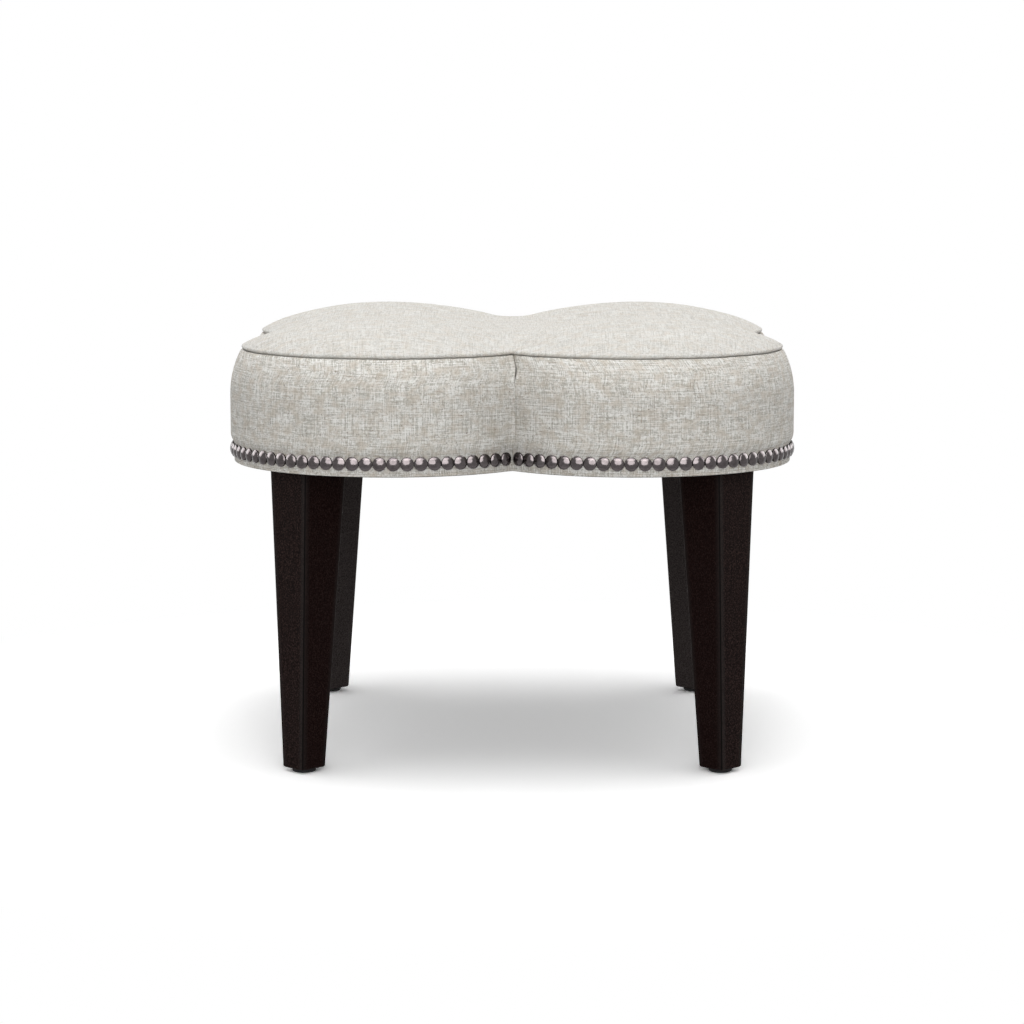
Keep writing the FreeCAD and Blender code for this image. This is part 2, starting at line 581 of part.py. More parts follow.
def main():
    os.makedirs("parts", exist_ok=True)
    quarter = quarter_space()
    rim_space = lobe_rim_space()

    # Fasteners of one lobe, which also cut their own holes in what they pass through
    nail_angles = lobe_angles(COVER_EDGE_RADIUS, NAILS_PER_LOBE, NAIL_NOTCH_GAP)
    nails = [make_nail(degrees) for degrees in nail_angles]
    shanks = [make_shank(degrees) for degrees in nail_angles]
    cover_staples = lobe_staples(COVER_STAPLE_INSET, MARGIN_BOTTOM_Z)
    dust_staples = lobe_staples(DUST_STAPLE_INSET, MARGIN_BOTTOM_Z - DUST_COVER_THICKNESS)
    lobe_holes = Part.makeCompound(shanks + cover_staples + dust_staples)
    bolt_hole = make_bolt(THREAD_CLEARANCE)

    # Legs, glides and what holds them
    leg = make_leg().cut([bolt_hole, make_glide_nail(THREAD_CLEARANCE)])
    save_quarters("leg", leg)
    save_quarters("glide", make_glide().cut(make_glide_nail()))
    save("glide_nails", Part.makeCompound(four_quarters(make_glide_nail())))
    save("leg_bolts", Part.makeCompound(four_quarters(make_bolt())))
    save("tee_nuts", Part.makeCompound(four_quarters(make_tee_nut())))

    # Frame
    board = seat_plate(BOARD_RADIUS, BOARD_BOTTOM_Z, BOARD_TOP_Z)
    rim = [edge for edge in board.Edges if edge.BoundBox.ZMax < (BOARD_BOTTOM_Z + BOARD_TOP_Z) / 2]
    board = board.makeFillet(BOARD_EDGE_ROUND, rim)
    board = board.cut(four_quarters(lobe_holes))
    board = board.cut(four_quarters(make_tee_nut_seat()) + base_screws(THREAD_CLEARANCE))
    save("base_board", board)

    base_holes = Part.makeCompound(base_screws(THREAD_CLEARANCE))
    deck_holes = Part.makeCompound(deck_screws(THREAD_CLEARANCE))
    save_quarters("leg_post", make_leg_post().cut([base_holes, deck_holes]))
    notch_post = make_notch_post().cut([base_holes, deck_holes])
    for side, degrees in NOTCHES.items():
        save("notch_post_" + side, turned(notch_post, degrees))
    save("top_deck", seat_plate(DECK_RADIUS, DECK_BOTTOM_Z, DECK_TOP_Z).cut(deck_holes))
    skin = lobe_ring(DECK_RADIUS, FRAME_RADIUS, BOARD_TOP_Z, DECK_TOP_Z).common(rim_space)
    save_quarters("rim_skin", skin)
    save("base_screws", Part.makeCompound(base_screws()))
    save("deck_screws", Part.makeCompound(deck_screws()))

    # Cushion
    under_cover = lobe_body(COVER_THICKNESS)
    pad_ring = lobe_ring(FRAME_RADIUS, WALL_RADIUS, BOARD_TOP_Z, SEAM_Z)
    save_quarters("side_pad", under_cover.common(pad_ring).common(rim_space))
    save("seat_foam", seat_plate(FRAME_RADIUS, DECK_TOP_Z, SEAM_Z))
    padding = crown(COVER_THICKNESS + BATTING_THICKNESS)
    batting = crown(COVER_THICKNESS)
    save_quarters("crown_pad", padding.common(quarter))
    save("top_batting", batting.cut(padding))

    # Cover
    save("cover_top", crown(0.0).cut(batting))
    margin_hole = lobe_disc(MARGIN_RADIUS, MARGIN_BOTTOM_Z, BOARD_BOTTOM_Z)
    boxing = lobe_body(0.0).cut([under_cover, margin_hole]).common(rim_space).cut(lobe_holes)
    save_quarters("cover_boxing", boxing)
    band_bottom = MARGIN_BOTTOM_Z - DUST_COVER_THICKNESS
    dust_cover = seat_plate(BOARD_RADIUS - DUST_COVER_EDGE_INSET, band_bottom, MARGIN_BOTTOM_Z)
    dust_cover = dust_cover.fuse(seat_plate(MARGIN_RADIUS, band_bottom, BOARD_BOTTOM_Z))
    inside = seat_plate(MARGIN_RADIUS - DUST_COVER_THICKNESS, band_bottom, LEG_TOP_Z)
    dust_cover = dust_cover.cut([inside] + four_quarters(bolt_hole))
    dust_cover = dust_cover.cut(four_quarters(Part.makeCompound(dust_staples)))
    save("dust_cover", dust_cover.removeSplitter())
    save("cover_staples", Part.makeCompound(four_quarters(Part.makeCompound(cover_staples))))
    save("dust_cover_staples", Part.makeCompound(four_quarters(Part.makeCompound(dust_staples))))
    save("decorative_nails", Part.makeCompound(four_quarters(Part.makeCompound(nails))))


main()
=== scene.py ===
import json
import math

import bmesh
import bpy
import numpy as np
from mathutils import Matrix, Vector


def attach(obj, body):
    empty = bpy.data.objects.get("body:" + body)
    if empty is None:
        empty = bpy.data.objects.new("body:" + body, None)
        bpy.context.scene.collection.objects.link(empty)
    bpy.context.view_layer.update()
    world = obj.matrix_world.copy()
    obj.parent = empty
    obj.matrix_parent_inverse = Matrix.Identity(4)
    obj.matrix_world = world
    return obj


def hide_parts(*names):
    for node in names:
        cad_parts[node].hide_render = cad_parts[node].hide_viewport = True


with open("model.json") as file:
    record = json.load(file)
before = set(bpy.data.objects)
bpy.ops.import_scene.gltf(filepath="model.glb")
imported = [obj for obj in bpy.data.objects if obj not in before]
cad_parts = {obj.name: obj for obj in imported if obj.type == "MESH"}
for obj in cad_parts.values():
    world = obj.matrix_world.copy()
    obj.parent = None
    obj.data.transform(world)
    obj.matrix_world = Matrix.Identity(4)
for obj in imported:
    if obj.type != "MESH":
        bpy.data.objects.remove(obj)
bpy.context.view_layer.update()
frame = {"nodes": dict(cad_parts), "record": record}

# The seat's plan, in metres: four lobes, each centred this far from both middle planes
LOBE_OFFSET = 0.1215
LOBE_NAMES = ["back_right", "back_left", "front_left", "front_right"]
SEAM_HEIGHT = 0.4248

# Crown of the top panel
LIP_TOP = 0.0036
DOME_RADIUS = 0.1542
DOME_RISE = 0.0276
PEAK_SHIFT = 0.0225
DOME_FULLNESS = 1.06
VALLEY_RISE = 0.0153
VALLEY_FLAT = 0.120
VALLEY_EDGE = 0.2134
VALLEY_SOFTNESS = 0.0012

# Side panel
WALL_RADIUS = 0.1683
BAND_RADIUS = 0.1651
BAND_TOP = 0.3290
LOBE_ARC = 0.555
MARGIN_END = 0.1502
DUST_EDGE_RADIUS = 0.1588
DUST_HEIGHT = 0.3096
CUSHION_RADIUS = 0.1526
CUSHION_BOTTOM = 0.3745

# Nails
NAIL_HEIGHT = 0.3221
NAIL_COUNT = 39
NAIL_NOTCH_GAP = 0.0098
NAIL_WIDTH = 0.0137
NAIL_EDGE_SLOPE = math.radians(37)
NAIL_LIP = 0.0020
NAIL_TILT = math.radians(3)

# Legs, in millimetres as their finish counts: widths, the outer side's place, and heights
LEG_TOP = 55.0
LEG_FOOT = 31.7
LEG_OUTER = 317.6
LEG_LEAN = 2.6
LEG_BOTTOM = 4.2
LEG_LENGTH = 305.0

ONE_MM = 0.001

# The camera, as the four feet in the photograph place it
CAMERA_LENS = 100.02
CAMERA_PLACE = (-0.0002, -3.0447, 0.6437)
CAMERA_DIP = math.radians(7.609)


# Camera, floor and light

def place_camera():
    camera = bpy.data.objects.new("camera", bpy.data.cameras.new("camera"))
    bpy.context.scene.collection.objects.link(camera)
    camera.data.lens = CAMERA_LENS
    camera.data.sensor_width = 36.0
    camera.data.clip_end = 200.0
    camera.location = CAMERA_PLACE
    camera.rotation_euler = (math.pi / 2 - CAMERA_DIP, 0, 0)
    bpy.context.scene.camera = camera
    bpy.context.scene.view_settings.view_transform = "Standard"


def place_lamp(name, place, aim, width, depth, power, shape="RECTANGLE"):
    light = bpy.data.lights.new(name, "AREA")
    light.shape = shape
    light.size = width
    light.size_y = depth
    light.energy = power
    lamp = bpy.data.objects.new(name, light)
    bpy.context.scene.collection.objects.link(lamp)
    lamp.location = place
    way = Vector(aim) - Vector(place)
    lamp.rotation_euler = way.to_track_quat("-Z", "Y").to_euler()
    return lamp


class Nodes:
    """A node tree, with short ways to add and join its nodes."""

    def __init__(self, tree):
        self.tree = tree

    def add(self, kind, inputs=None, **settings):
        node = self.tree.nodes.new(kind)
        for name, value in settings.items():
            setattr(node, name, value)
        for key, value in (inputs or {}).items():
            self.feed(node.inputs[key], value)
        return node

    def feed(self, socket, value):
        if isinstance(value, bpy.types.NodeSocket):
            self.tree.links.new(value, socket)
        else:
            socket.default_value = value

    def sums(self, operation, *values):
        return self.add("ShaderNodeMath", dict(enumerate(values)), operation=operation).outputs[0]

    def times(self, first, second):
        return self.sums("MULTIPLY", first, second)

    def times_plus(self, first, second, third):
        return self.sums("MULTIPLY_ADD", first, second, third)


class Finish(Nodes):
    """A material, with the kinds of node that its colour, roughness and bump are made of."""

    def __init__(self, name):
        self.material = bpy.data.materials.new(name)
        self.material.use_nodes = True
        super().__init__(self.material.node_tree)
        self.tree.nodes.clear()
        self.output = self.add("ShaderNodeOutputMaterial")
        self.shader = self.add("ShaderNodeBsdfPrincipled")
        self.feed(self.output.inputs["Surface"], self.shader.outputs[0])

    def place(self, stretch=(1, 1, 1), shift=(0, 0, 0), cloth=False):
        """Object coordinates, or the cloth's own, both counted in millimetres."""
        if cloth:
            source = self.add("ShaderNodeUVMap", uv_map="cloth").outputs[0]
        else:
            source = self.add("ShaderNodeTexCoord").outputs["Object"]
        scale = [1000 * share for share in stretch]
        return self.add("ShaderNodeMapping", {"Vector": source, "Location": shift, "Scale": scale}).outputs[0]

    def axes(self):
        """The object coordinates one by one, in millimetres."""
        return tuple(self.add("ShaderNodeSeparateXYZ", {0: self.place()}).outputs)

    def noise(self, place, detail=2.0, roughness=0.5, distortion=0.0):
        sizes = {"Vector": place, "Scale": 1.0, "Detail": detail, "Roughness": roughness, "Distortion": distortion}
        return self.add("ShaderNodeTexNoise", sizes).outputs["Fac"]

    def between(self, value, low, high, start=0.0, end=1.0, kind="SMOOTHSTEP"):
        sizes = {"Value": value, "From Min": low, "From Max": high, "To Min": start, "To Max": end}
        return self.add("ShaderNodeMapRange", sizes, interpolation_type=kind).outputs[0]

    def mix(self, share, first, second):
        colours = [(*value, 1) if isinstance(value, tuple) else value for value in (first, second)]
        return self.add("ShaderNodeMix", {0: share, 6: colours[0], 7: colours[1]}, data_type="RGBA").outputs[2]

    def bump(self, height, distance, strength):
        sizes = {"Height": height, "Distance": distance, "Strength": strength}
        return self.add("ShaderNodeBump", sizes).outputs[0]

    def dress(self, **sockets):
        for name, value in sockets.items():
            self.feed(self.shader.inputs[name.replace("_", " ")], value)
        return self.material


def floor_finish():
    """White floor. The camera sees it brighter than the light that it throws back on the seat."""
    finish = Finish("white_floor")
    seen = seen_directly(finish)
    grain = finish.noise(finish.place((0.02, 0.02, 0.02)))
    brightness = finish.times_plus(seen, 0.98, 0.52)
    tone = finish.times(finish.between(grain, 0.2, 0.8, 0.99, 1.01), brightness)
    colour = finish.add("ShaderNodeCombineColor", {0: tone, 1: tone, 2: tone})
    matt = finish.add("ShaderNodeBsdfDiffuse", {"Color": colour.outputs[0]})
    x, y, _ = finish.axes()
    distance = finish.sums("SQRT", finish.sums("ADD", finish.sums("POWER", x, 2.0), finish.sums("POWER", y, 2.0)))
    far = finish.between(distance, 400.0, 850.0)
    glow = finish.add("ShaderNodeEmission")
    blend = finish.add("ShaderNodeMixShader", {0: finish.times(far, seen), 1: matt.outputs[0], 2: glow.outputs[0]})
    finish.feed(finish.output.inputs["Surface"], blend.outputs[0])
    finish.tree.nodes.remove(finish.shader)
    return finish.material


def seen_directly(finish):
    """One where a ray comes from the camera, a mirror or glass, and nought elsewhere."""
    ray = finish.add("ShaderNodeLightPath")
    either = finish.sums("MAXIMUM", ray.outputs["Is Camera Ray"], ray.outputs["Is Glossy Ray"])
    return finish.sums("MAXIMUM", either, ray.outputs["Is Transmission Ray"])


def light_studio():
    world = bpy.data.worlds.new("studio")
    bpy.context.scene.world = world
    world.use_nodes = True
    room = Nodes(world.node_tree)
    room.tree.nodes.clear()
    output = room.add("ShaderNodeOutputWorld")
    soft = room.add("ShaderNodeBackground", {"Color": (1, 1, 1, 1), "Strength": 0.53})
    white = room.add("ShaderNodeBackground", {"Color": (1, 1, 1, 1), "Strength": 1.0})
    blend = room.add("ShaderNodeMixShader", {0: seen_directly(room), 1: soft.outputs[0], 2: white.outputs[0]})
    room.feed(output.inputs["Surface"], blend.outputs[0])

    place_lamp("overhead_softbox", (0, -0.05, 4.0), (0, -0.05, 0.3), 4.4, 4.4, 74, "ELLIPSE")
    front = place_lamp("front_softbox", (0, -3.6, 1.3), (0, 0, 0.35), 1.8, 2.2, 36)
    front.visible_glossy = False
    shine = [
        place_lamp("overhead_reflector", (0, -2.8, 3.35), (0, -2.8, 0), 5.6, 1.9, 222),
        place_lamp("front_reflector", (0, -3.7, 2.10), (0, 0, 2.10), 5.0, 4.6, 370, "ELLIPSE"),
        place_lamp("left_reflector", (-3.05, 1.20, 2.45), (0, 0, 0.32), 3.0, 4.2, 230),
        place_lamp("right_reflector", (3.05, 1.20, 2.45), (0, 0, 0.32), 3.0, 4.2, 230),
    ]
    for lamp in shine:
        lamp.visible_diffuse = False
        lamp.visible_camera = False

    bpy.ops.mesh.primitive_plane_add(size=60, location=(0, 0, 0))
    floor = bpy.context.object
    floor.name = "floor"
    floor.data.materials.append(floor_finish())


# Finishes

def linen(name, contrast, tan, painted_shade, light, dark):
    """Oatmeal linen-look cloth: a fine plain weave of uneven threads, flecked with tan and brown.
    It carries painted shade, a little darker down in the notches and away from the top seam, by the share given."""
    finish = Finish(name)

    def cloth_noise(across, along, shift, detail=2.0, roughness=0.55):
        return finish.noise(finish.place((across, along, 1), (*shift, 0), cloth=True), detail, roughness)

    def cross(first, second, share):
        """Crossing threads: light where both are proud or both are low."""
        return finish.times(finish.sums("SUBTRACT", first, 0.5), finish.times_plus(second, share, -share / 2))

    warp = cloth_noise(0.78, 0.032, (0, 0), 2.0, 0.55)
    weft = cloth_noise(0.030, 0.80, (31, 7), 2.0, 0.55)
    fuzz = finish.sums("ADD", cloth_noise(0.85, 0.24, (5, 91), 1.0, 0.6), cloth_noise(0.24, 0.85, (91, 5), 1.0, 0.6))
    tight = cross(cloth_noise(0.95, 0.16, (12, 45), 1.0), cloth_noise(0.16, 0.95, (45, 12), 1.0), 9.0)
    mottle = cloth_noise(0.11, 0.13, (52, 29), 3.0, 0.6)
    grain = finish.sums("ADD", warp, weft)
    fine = finish.times_plus(fuzz, 1.2, tight)
    level = finish.times_plus(grain, 1.70, fine)
    level = finish.times_plus(mottle, 0.80, level)
    shade = finish.between(level, 3.30 - 0.75 / contrast, 3.30 + 0.75 / contrast, kind="LINEAR")
    shade = finish.sums("POWER", shade, 0.75)
    colour = finish.mix(shade, dark, light)

    warmth = finish.between(cloth_noise(0.070, 0.085, (88, 40), 4.0, 0.68), 0.42, 0.66)
    colour = finish.mix(finish.times(warmth, 0.58 * tan), colour, (0.640, 0.565, 0.470))
    patches = finish.between(cloth_noise(0.035, 0.045, (3, 3), 2.0, 0.6), 0.40, 0.64)
    flat_slubs = finish.between(cloth_noise(0.060, 0.62, (77, 13), 1.0), 0.59, 0.74)
    tall_slubs = finish.between(cloth_noise(0.62, 0.070, (19, 57), 1.0), 0.60, 0.75)
    slubs = finish.sums("MAXIMUM", flat_slubs, tall_slubs)
    reach = finish.times_plus(patches, 0.42 * tan, 0.20 * tan)
    colour = finish.mix(finish.times(slubs, reach), colour, (0.400, 0.315, 0.235))
    specks = finish.between(cloth_noise(0.50, 0.44, (41, 23), 1.0, 0.5), 0.62, 0.76)
    reach = finish.times_plus(patches, 0.40 * tan, 0.42 * tan)
    colour = finish.mix(finish.times(specks, reach), colour, (0.230, 0.185, 0.140))

    x, y, z = finish.axes()
    across, along = finish.sums("ABSOLUTE", x), finish.sums("ABSOLUTE", y)
    # Painted shade: darker within 78 mm of the notch planes (x = 0 or y = 0), and darker below 378 mm, fading out
    # towards the top seam.
    corner = finish.between(finish.sums("MINIMUM", across, along), 0.0, 78.0, 1.0 - painted_shade, 1.0)
    lower = finish.between(z, 378.0, 426.0, 1.0 - 1.1 * painted_shade, 1.0)
    colour = finish.mix(finish.times(corner, lower), (0, 0, 0), colour)
    finish.dress(
        Base_Color=colour,
        Roughness=finish.between(fine, 0.9, 1.5, 0.95, 0.84),
        Specular_IOR_Level=0.08,
        Sheen_Weight=0.06,
        Sheen_Roughness=0.45,
        Normal=finish.bump(level, 0.00022, 0.7),
    )
    return finish.material


def cambric():
    """Black non-woven cloth, with its fine bonded dimples."""
    finish = Finish("black_cambric")
    fibres = finish.noise(finish.place((0.5, 0.06, 0.5)), 3.0, 0.6)
    spacing = {"Vector": finish.place((0.55, 0.55, 0.55)), "Randomness": 0.15}
    dimples = finish.add("ShaderNodeTexVoronoi", spacing, feature="F1")
    pit = finish.between(dimples.outputs["Distance"], 0.0, 0.45)
    colour = finish.mix(finish.between(fibres, 0.3, 0.7), (0.010, 0.010, 0.011), (0.024, 0.023, 0.024))
    finish.dress(
        Base_Color=colour,
        Roughness=finish.between(fibres, 0.2, 0.8, 0.78, 0.94),
        Specular_IOR_Level=0.25,
        Normal=finish.bump(finish.times_plus(pit, 0.6, fibres), 0.0003, 0.7),
    )
    return finish.material


def leg_edges(finish):
    """Distances in millimetres from the nearest of a leg's four long edges, from its nearer flank,
    and from the side that faces the seat's middle."""
    x, y, z = finish.axes()
    x, y = finish.sums("ABSOLUTE", x), finish.sums("ABSOLUTE", y)
    out = finish.times(finish.sums("ADD", x, y), math.sqrt(0.5))
    aside = finish.sums("ABSOLUTE", finish.times(finish.sums("SUBTRACT", x, y), math.sqrt(0.5)))
    up = finish.times_plus(z, 1 / LEG_LENGTH, -LEG_BOTTOM / LEG_LENGTH)
    width = finish.times_plus(up, LEG_TOP - LEG_FOOT, LEG_FOOT)
    face = finish.times_plus(up, LEG_LEAN, LEG_OUTER - LEG_LEAN)
    from_side = finish.times_plus(width, 0.5, finish.times(aside, -1.0))
    from_face = finish.sums("SUBTRACT", face, out)
    from_back = finish.sums("SUBTRACT", width, from_face)
    return finish.sums("MAXIMUM", from_side, finish.sums("MINIMUM", from_face, from_back)), from_side, from_back


def espresso():
    """Dark stained hardwood under a satin lacquer, its grain running down the leg. Beside each long edge it is
    painted a little paler, a painted highlight, and the edge itself is painted nearly black, a painted dark reflection.
    The side that faces the seat's middle is painted lighter and greyer, as painted bounce light, and the flanks are
    painted darker and redder, as painted shade."""
    finish = Finish("espresso_wood")
    grain = finish.noise(finish.place((0.42, 0.42, 0.018)), 4.0, 0.62, 0.4)
    pores = finish.noise(finish.place((0.9, 0.9, 0.11)), 2.0, 0.5)
    specks = finish.noise(finish.place((0.80, 0.80, 0.70), (3, 8, 5)), 1.0, 0.6)
    lacquer = finish.noise(finish.place((0.45, 0.45, 0.45), (9, 4, 2)), 2.0, 0.6)
    tone = finish.times_plus(pores, 0.45, grain)
    colour = finish.mix(finish.between(tone, 0.45, 1.0), (0.0016, 0.0005, 0.0004), (0.0060, 0.0021, 0.0018))
    colour = finish.mix(finish.between(specks, 0.42, 0.72), colour, (0.0330, 0.0190, 0.0165))
    edge, from_side, from_back = leg_edges(finish)
    # Painted highlight: a paler band from 1.7 to 8 mm off each long edge, its strength varied by the lacquer noise.
    edge_highlight = finish.times(finish.between(edge, 1.7, 8.0, 1.0, 0.0), finish.between(lacquer, 0.2, 0.6, 0.35, 0.75))
    colour = finish.mix(edge_highlight, colour, (0.0270, 0.0225, 0.0215))
    # Painted bounce light: the side facing the seat's middle is painted lighter and greyer, speckled by the specks
    # noise.
    painted_bounce_light = finish.times(finish.between(from_back, 0.3, 0.6, 1.0, 0.0), finish.between(specks, 0.3, 0.7, 0.35, 1.0))
    colour = finish.mix(painted_bounce_light, colour, (0.0632, 0.0528, 0.0508))
    # Painted shade: the flanks are painted darker and redder.
    colour = finish.mix(finish.between(from_side, 0.3, 0.6, 0.45, 0.0), colour, (0.0050, 0.0003, 0.0001))
    # Painted dark reflection: a nearly black line on each long edge, fading out by 1.9 mm from it.
    colour = finish.mix(finish.between(edge, 1.1, 1.9, 1.0, 0.0), colour, (0.0010, 0.0006, 0.0006))
    height = finish.times_plus(lacquer, 0.8, pores)
    finish.dress(
        Base_Color=colour,
        Roughness=finish.between(lacquer, 0.25, 0.75, 0.42, 0.60),
        Specular_IOR_Level=0.02,
        Normal=finish.bump(height, 0.00022, 0.55),
    )
    return finish.material


def pewter():
    """Dark nickel nail heads, polished, with a faint patina and fine scuffs."""
    finish = Finish("dark_nickel")
    patina = finish.noise(finish.place((0.22, 0.22, 0.30)), 3.0, 0.6)
    scuffs = finish.noise(finish.place((1.1, 1.1, 1.1)), 2.0, 0.6)
    colour = finish.mix(finish.between(patina, 0.3, 0.7), (0.062, 0.054, 0.055), (0.092, 0.081, 0.082))
    finish.dress(
        Base_Color=colour,
        Metallic=1.0,
        Roughness=finish.between(scuffs, 0.25, 0.75, 0.11, 0.22),
        Normal=finish.bump(scuffs, 0.00006, 0.4),
    )
    return finish.material


def zinc():
    """Bright zinc-plated steel, faintly mottled."""
    finish = Finish("zinc_steel")
    mottle = finish.noise(finish.place((0.5, 0.5, 0.5)), 3.0, 0.65)
    lines = finish.noise(finish.place((0.3, 0.3, 2.2)), 1.0, 0.5)
    colour = finish.mix(finish.between(mottle, 0.3, 0.7), (0.50, 0.50, 0.49), (0.68, 0.68, 0.66))
    finish.dress(
        Base_Color=colour,
        Metallic=1.0,
        Roughness=finish.between(mottle, 0.2, 0.8, 0.26, 0.44),
        Normal=finish.bump(lines, 0.00005, 0.5),
    )
    return finish.material


def plastic():
    """Black moulded plastic with a fine spark texture."""
    finish = Finish("black_plastic")
    spark = finish.noise(finish.place((1.6, 1.6, 1.6)), 2.0, 0.6)
    wear = finish.noise(finish.place((0.16, 0.16, 0.16)), 3.0, 0.6)
    colour = finish.mix(finish.between(wear, 0.35, 0.75), (0.0045, 0.0045, 0.0046), (0.0120, 0.0120, 0.0122))
    finish.dress(
        Base_Color=colour,
        Roughness=finish.between(wear, 0.2, 0.8, 0.45, 0.62),
        Specular_IOR_Level=0.15,
        Normal=finish.bump(spark, 0.00012, 0.6),
    )
    return finish.material


def plywood():
    """Birch plywood: long face grain, and on its edges the turning plies, 1.5 mm each."""
    finish = Finish("birch_plywood")
    grain = finish.noise(finish.place((0.035, 0.50, 0.50)), 4.0, 0.6, 0.8)
    spots = finish.noise(finish.place((0.25, 0.9, 0.9)), 2.0, 0.5)
    ply = finish.sums("SINE", finish.times(finish.axes()[2], math.pi / 1.5))
    layer = finish.between(ply, -0.25, 0.25)
    wood = finish.mix(finish.between(grain, 0.3, 0.72), (0.47, 0.32, 0.185), (0.70, 0.54, 0.36))
    wood = finish.mix(finish.times(layer, 0.30), wood, (0.36, 0.225, 0.12))
    finish.dress(
        Base_Color=wood,
        Roughness=finish.between(spots, 0.2, 0.8, 0.62, 0.80),
        Specular_IOR_Level=0.35,
        Normal=finish.bump(finish.times_plus(layer, 0.3, grain), 0.0003, 0.5),
    )
    return finish.material


def hardwood():
    """Plain sawn hardwood for the posts, its grain upright."""
    finish = Finish("sawn_hardwood")
    sizes = {"Vector": finish.place((0.12, 0.07, 0.006)), "Scale": 1.0, "Distortion": 4.0, "Detail": 3.0}
    rings = finish.add("ShaderNodeTexWave", sizes, wave_type="BANDS", bands_direction="X")
    fibres = finish.noise(finish.place((1.2, 1.2, 0.05)), 3.0, 0.6)
    wood = finish.mix(rings.outputs["Fac"], (0.50, 0.34, 0.19), (0.64, 0.47, 0.30))
    wood = finish.mix(finish.between(fibres, 0.5, 0.8, 0.0, 0.4), wood, (0.34, 0.21, 0.11))
    finish.dress(
        Base_Color=wood,
        Roughness=finish.between(fibres, 0.2, 0.8, 0.60, 0.78),
        Specular_IOR_Level=0.35,
        Normal=finish.bump(fibres, 0.0003, 0.5),
    )
    return finish.material


# Shape of the seat

def lobe_to_world(points, lobe):
    """Turns points of the back right lobe to lobe number 0 to 3, counted anticlockwise."""
    turned = np.array(points, float)
    for _ in range(lobe):
        turned = np.stack([-turned[..., 1], turned[..., 0], turned[..., 2]], axis=-1)
    return turned


def dome_level(across, along):
    """How far up its dome a point lies, 0 at the edge and 1 at the peak, and below 0 outside."""
    low = np.zeros_like(across)
    high = np.ones_like(across)
    for _ in range(26):
        level = (low + high) / 2
        middle = LOBE_OFFSET + PEAK_SHIFT * level
        radius = DOME_RADIUS * np.sqrt(np.maximum(1 - level**DOME_FULLNESS, 0))
        inside = np.hypot(across - middle, along - middle) <= radius
        low = np.where(inside, level, low)
        high = np.where(inside, high, level)
    outside = np.hypot(across - LOBE_OFFSET, along - LOBE_OFFSET) - DOME_RADIUS
    return np.where(outside > 0, -outside / DOME_RADIUS, low)


def crown_height(x, y, inner):
    """Height of the top panel above its lip. inner is 0 at the panel's edge and 1 well inside."""
    levels = []
    for side in (1, -1):
        for way in (1, -1):
            levels.append(DOME_RISE * dome_level(side * x, way * y))
    reach = np.hypot(x, y)
    fall = VALLEY_RISE - LIP_TOP
    bend = (VALLEY_EDGE - VALLEY_FLAT) ** 2 / fall
    levels.append(fall - np.maximum(reach - VALLEY_FLAT, 0) ** 2 / bend)
    levels = np.array(levels)
    hard = levels.max(axis=0)
    soft = hard + VALLEY_SOFTNESS * np.log(np.exp((levels - hard) / VALLEY_SOFTNESS).sum(axis=0))
    drawn = np.exp(-(((np.abs(x) - 0.019) / 0.011) ** 2)) + np.exp(-(((np.abs(y) - 0.019) / 0.011) ** 2))
    return np.maximum(hard + (soft - hard) * inner - 0.0011 * drawn * smooth_step(inner * reach / 0.09), 0)


def notch_pulls(x, y):
    """Soft folds that fan out over the top from where it is sewn at each notch."""
    notch = 0.2172
    total = np.zeros_like(x)
    for turn in range(4):
        angle = math.pi / 2 * turn
        across = x * math.cos(angle) + y * math.sin(angle)
        inwards = notch - (-x * math.sin(angle) + y * math.cos(angle))
        far = np.hypot(across, inwards)
        fan = np.arctan2(across, np.maximum(inwards, 1e-6))
        fold = np.cos(5.2 * fan) * np.exp(-((far / 0.030) ** 2)) * np.clip(far / 0.008, 0, 1)
        total += fold
    return total


def smooth_step(value):
    value = np.clip(value, 0, 1)
    return value * value * (3 - 2 * value)


def column_shares(count):
    """Where the columns stand along one lobe's arc, closer together by the notches."""
    near = np.array([0, 0.5, 1.1, 1.8, 2.8, 4.0, 5.6, 7.6, 10.0, 13.0, 16.5]) * ONE_MM / LOBE_ARC
    middle = np.linspace(near[-1], 1 - near[-1], count)
    return np.concatenate([near[:-1], middle, 1 - near[:-1][::-1]])


def arc_points(radius, height, shares):
    """Points of one lobe's arc from notch to notch, at a radius about the lobe's middle."""
    start = -math.asin(LOBE_OFFSET / radius)
    stop = math.acos(-LOBE_OFFSET / radius)
    angles = start + (stop - start) * shares
    x = LOBE_OFFSET + radius * np.cos(angles)
    y = LOBE_OFFSET + radius * np.sin(angles)
    return np.stack([x, y, np.full_like(x, height)], axis=-1)


def around(radius, height, shares):
    """A closed row right round the seat: four arcs, each without its last point."""
    arc = arc_points(radius, height, shares)[:-1]
    return np.concatenate([lobe_to_world(arc, lobe) for lobe in range(4)])


# Edge of the top panel, from inside the seam to where the dome starts: radius and height
LIP_LINE = [
    (0.1522, -0.0012),
    (0.1532, -0.00075),
    (0.1544, -0.00030),
    (0.1554, 0.00020),
    (0.15605, 0.00095),
    (0.15625, 0.0018),
    (0.1559, 0.0027),
    (0.1552, 0.00325),
    (0.1542, 0.0036),
]


def hand_sewn(distance):
    """Small unevenness along a seam, from -1 to 1, by the distance along it."""
    run = distance / ONE_MM
    return (np.sin(run / 1.9) + np.sin(run / 3.1 + 1.3) + np.sin(run / 6.7 + 0.4) + np.sin(run / 15.0 + 2.2)) / 4


